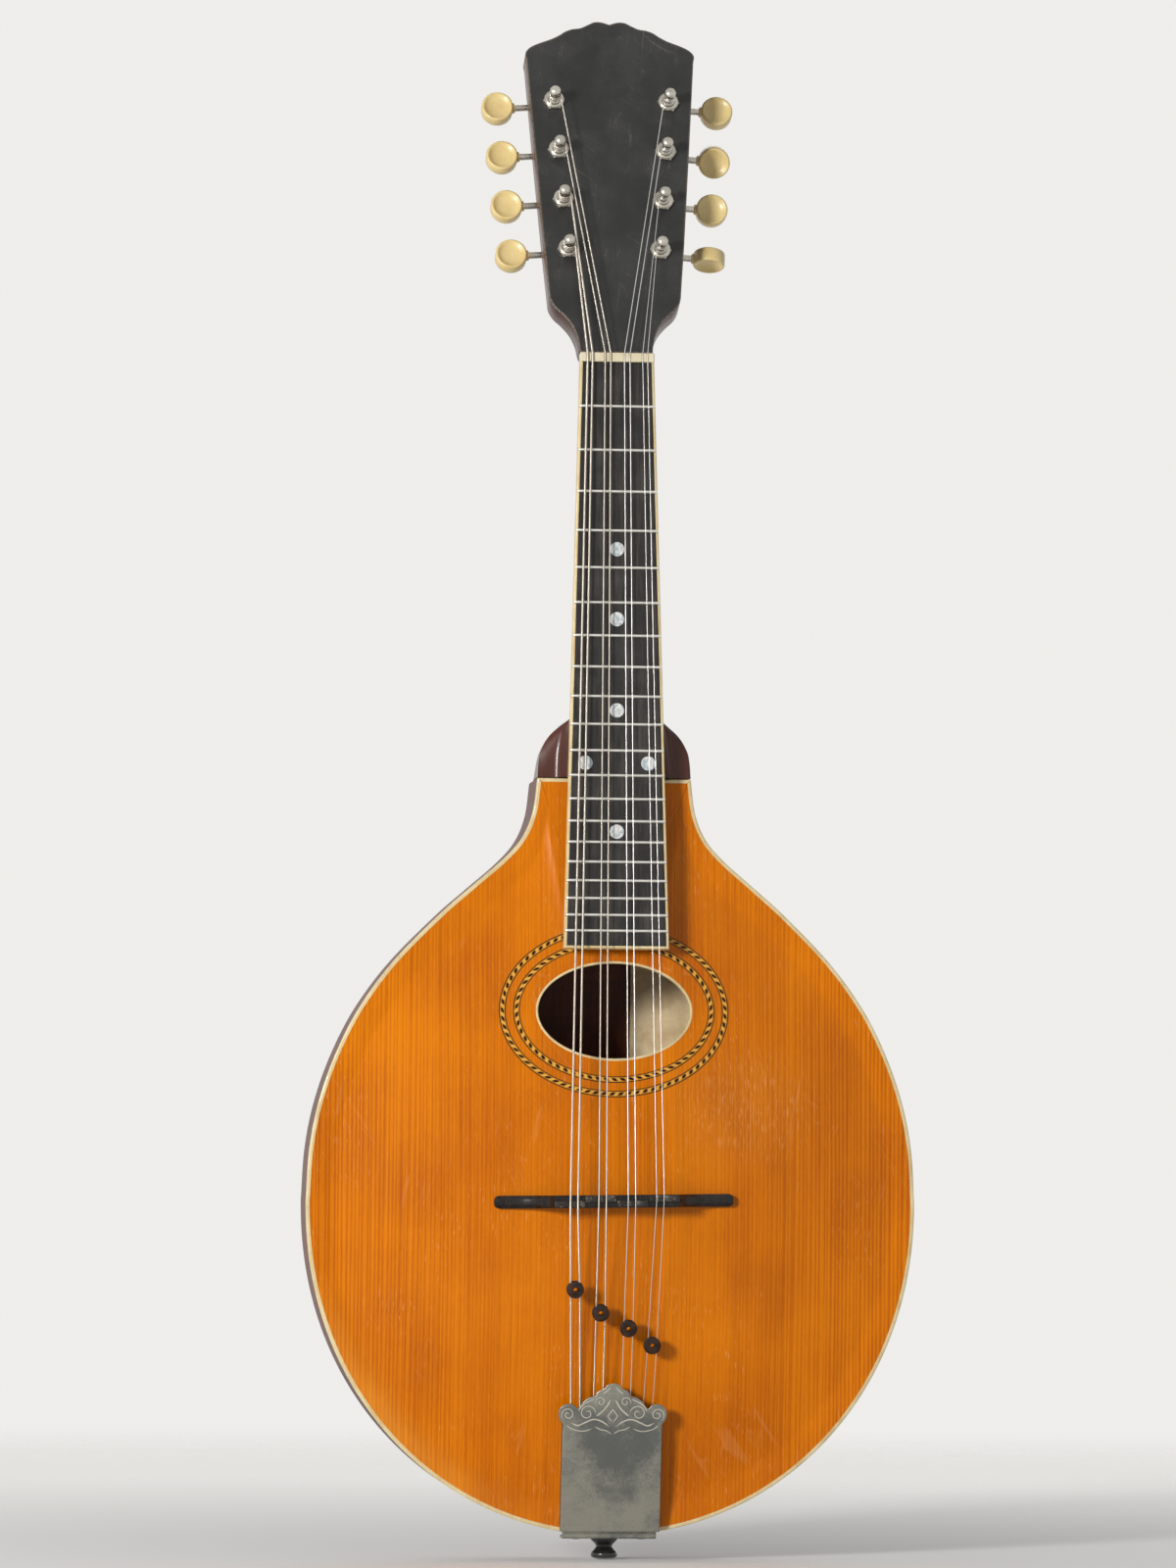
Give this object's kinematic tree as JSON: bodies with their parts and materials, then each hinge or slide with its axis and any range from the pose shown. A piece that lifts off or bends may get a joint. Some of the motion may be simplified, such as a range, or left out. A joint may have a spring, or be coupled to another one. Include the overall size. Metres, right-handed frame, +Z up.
{
  "type": "mandolin",
  "caption": "Carved-top, pear-shaped, oval-hole mandolin with worm-geared tuners, floating bridge and sliding tailpiece cover.",
  "frame": {"origin": "the point on the centre line behind the headstock's lower ears where a hanger's cradle takes the neck", "axes": "+Z up the instrument from tail to crest, +X to the treble side as the front is seen, +Y from front to back"},
  "size_m": [0.2554, 0.0921, 0.6544],
  "materials": {
    "top_spruce": "amber varnish over spruce, glossy, worn",
    "body_maple": "dark red-brown varnish over maple, glossy",
    "neck_mahogany": "dark red-brown varnish over mahogany, glossy",
    "inner_spruce": "bare spruce",
    "head_black": "black stained veneer, worn satin",
    "ebony": "oiled ebony",
    "ivory_binding": "aged cream celluloid",
    "bone": "polished bone",
    "cream_button": "aged cream plastic",
    "nickel": "worn nickel plate",
    "gear_brass": "dull brass",
    "tail_nickel": "engraved, tarnished nickel plate",
    "wound_bronze": "bronze winding on steel",
    "plain_steel": "plain steel wire",
    "black_pin": "polished black",
    "rubber": "aged dark rubber"
  },
  "bodies": {
    "root": {"top": "top_spruce", "back": "body_maple", "top_binding": "ivory_binding", "soundhole_binding": "ivory_binding", "rib_treble": "body_maple", "rib_bass": "body_maple", "top_lining": "inner_spruce", "back_lining": "inner_spruce", "neck_block": "inner_spruce", "tail_block": "inner_spruce", "top_brace": "inner_spruce", "neck": "neck_mahogany", "head_veneer": "head_black", "fingerboard": "ebony", "fingerboard_binding": "ivory_binding", "nut": "bone", "board_riser": "neck_mahogany", "tuner_plate_treble": "nickel", "tuner_plate_bass": "nickel", "bridge": "ebony", "tailpiece_base": "tail_nickel", "end_pin": "black_pin", "string_g1": "wound_bronze", "string_g2": "wound_bronze", "string_d1": "wound_bronze", "string_d2": "wound_bronze", "string_a1": "plain_steel", "string_a2": "plain_steel", "string_e1": "plain_steel", "string_e2": "plain_steel", "grommet_g": "rubber", "grommet_d": "rubber", "grommet_a": "rubber", "grommet_e": "rubber"},
    "knob_treble_1": {"worm_treble_1": "gear_brass", "button_treble_1": "cream_button"},
    "roller_treble_1": {"post_treble_1": "nickel"},
    "knob_treble_2": {"worm_treble_2": "gear_brass", "button_treble_2": "cream_button"},
    "roller_treble_2": {"post_treble_2": "nickel"},
    "knob_treble_3": {"worm_treble_3": "gear_brass", "button_treble_3": "cream_button"},
    "roller_treble_3": {"post_treble_3": "nickel"},
    "knob_treble_4": {"worm_treble_4": "gear_brass", "button_treble_4": "cream_button"},
    "roller_treble_4": {"post_treble_4": "nickel"},
    "knob_bass_1": {"worm_bass_1": "gear_brass", "button_bass_1": "cream_button"},
    "roller_bass_1": {"post_bass_1": "nickel"},
    "knob_bass_2": {"worm_bass_2": "gear_brass", "button_bass_2": "cream_button"},
    "roller_bass_2": {"post_bass_2": "nickel"},
    "knob_bass_3": {"worm_bass_3": "gear_brass", "button_bass_3": "cream_button"},
    "roller_bass_3": {"post_bass_3": "nickel"},
    "knob_bass_4": {"worm_bass_4": "gear_brass", "button_bass_4": "cream_button"},
    "roller_bass_4": {"post_bass_4": "nickel"},
    "cover": {"tailpiece_cover": "tail_nickel"}
  },
  "joints": [
    {"name": "knob_turn_treble_1", "type": "hinge", "parent": "root", "child": "knob_treble_1", "pos_m": [0.02496, 0.0412, 0.09352], "axis": [0.9975, -0.021, -0.0672], "continuous": true},
    {"name": "post_turn_treble_1", "type": "hinge", "parent": "root", "child": "roller_treble_1", "pos_m": [0.0245, 0.02142, 0.0929], "axis": [0, -0.9545, 0.2982], "continuous": true},
    {"name": "knob_turn_treble_2", "type": "hinge", "parent": "root", "child": "knob_treble_2", "pos_m": [0.02332, 0.0343, 0.07142], "axis": [0.9975, -0.021, -0.0672], "continuous": true},
    {"name": "post_turn_treble_2", "type": "hinge", "parent": "root", "child": "roller_treble_2", "pos_m": [0.02287, 0.01451, 0.07081], "axis": [0, -0.9545, 0.2982], "continuous": true},
    {"name": "knob_turn_treble_3", "type": "hinge", "parent": "root", "child": "knob_treble_3", "pos_m": [0.02169, 0.02739, 0.04932], "axis": [0.9975, -0.021, -0.0672], "continuous": true},
    {"name": "post_turn_treble_3", "type": "hinge", "parent": "root", "child": "roller_treble_3", "pos_m": [0.02123, 0.00761, 0.04871], "axis": [0, -0.9545, 0.2982], "continuous": true},
    {"name": "knob_turn_treble_4", "type": "hinge", "parent": "root", "child": "knob_treble_4", "pos_m": [0.02006, 0.02049, 0.02723], "axis": [0.9975, -0.021, -0.0672], "continuous": true},
    {"name": "post_turn_treble_4", "type": "hinge", "parent": "root", "child": "roller_treble_4", "pos_m": [0.0196, 0.00071, 0.02661], "axis": [0, -0.9545, 0.2982], "continuous": true},
    {"name": "knob_turn_bass_1", "type": "hinge", "parent": "root", "child": "knob_bass_1", "pos_m": [-0.02496, 0.0412, 0.09352], "axis": [0.9975, 0.021, 0.0672], "continuous": true},
    {"name": "post_turn_bass_1", "type": "hinge", "parent": "root", "child": "roller_bass_1", "pos_m": [-0.0245, 0.02142, 0.0929], "axis": [0, -0.9545, 0.2982], "continuous": true},
    {"name": "knob_turn_bass_2", "type": "hinge", "parent": "root", "child": "knob_bass_2", "pos_m": [-0.02332, 0.0343, 0.07142], "axis": [0.9975, 0.021, 0.0672], "continuous": true},
    {"name": "post_turn_bass_2", "type": "hinge", "parent": "root", "child": "roller_bass_2", "pos_m": [-0.02287, 0.01451, 0.07081], "axis": [0, -0.9545, 0.2982], "continuous": true},
    {"name": "knob_turn_bass_3", "type": "hinge", "parent": "root", "child": "knob_bass_3", "pos_m": [-0.02169, 0.02739, 0.04932], "axis": [0.9975, 0.021, 0.0672], "continuous": true},
    {"name": "post_turn_bass_3", "type": "hinge", "parent": "root", "child": "roller_bass_3", "pos_m": [-0.02123, 0.00761, 0.04871], "axis": [0, -0.9545, 0.2982], "continuous": true},
    {"name": "knob_turn_bass_4", "type": "hinge", "parent": "root", "child": "knob_bass_4", "pos_m": [-0.02006, 0.02049, 0.02723], "axis": [0.9975, 0.021, 0.0672], "continuous": true},
    {"name": "post_turn_bass_4", "type": "hinge", "parent": "root", "child": "roller_bass_4", "pos_m": [-0.0196, 0.00071, 0.02661], "axis": [0, -0.9545, 0.2982], "continuous": true},
    {"name": "cover_slide", "type": "slide", "parent": "root", "child": "cover", "axis": [0, -0.1752, 0.9845], "range_m": [0, 0.02]}
  ],
  "couplings": [
    {"joint": "post_turn_treble_1", "follows": "knob_turn_treble_1", "ratio": 0.071429},
    {"joint": "post_turn_treble_2", "follows": "knob_turn_treble_2", "ratio": 0.071429},
    {"joint": "post_turn_treble_3", "follows": "knob_turn_treble_3", "ratio": 0.071429},
    {"joint": "post_turn_treble_4", "follows": "knob_turn_treble_4", "ratio": 0.071429},
    {"joint": "post_turn_bass_1", "follows": "knob_turn_bass_1", "ratio": 0.071429},
    {"joint": "post_turn_bass_2", "follows": "knob_turn_bass_2", "ratio": 0.071429},
    {"joint": "post_turn_bass_3", "follows": "knob_turn_bass_3", "ratio": 0.071429},
    {"joint": "post_turn_bass_4", "follows": "knob_turn_bass_4", "ratio": 0.071429}
  ]
}
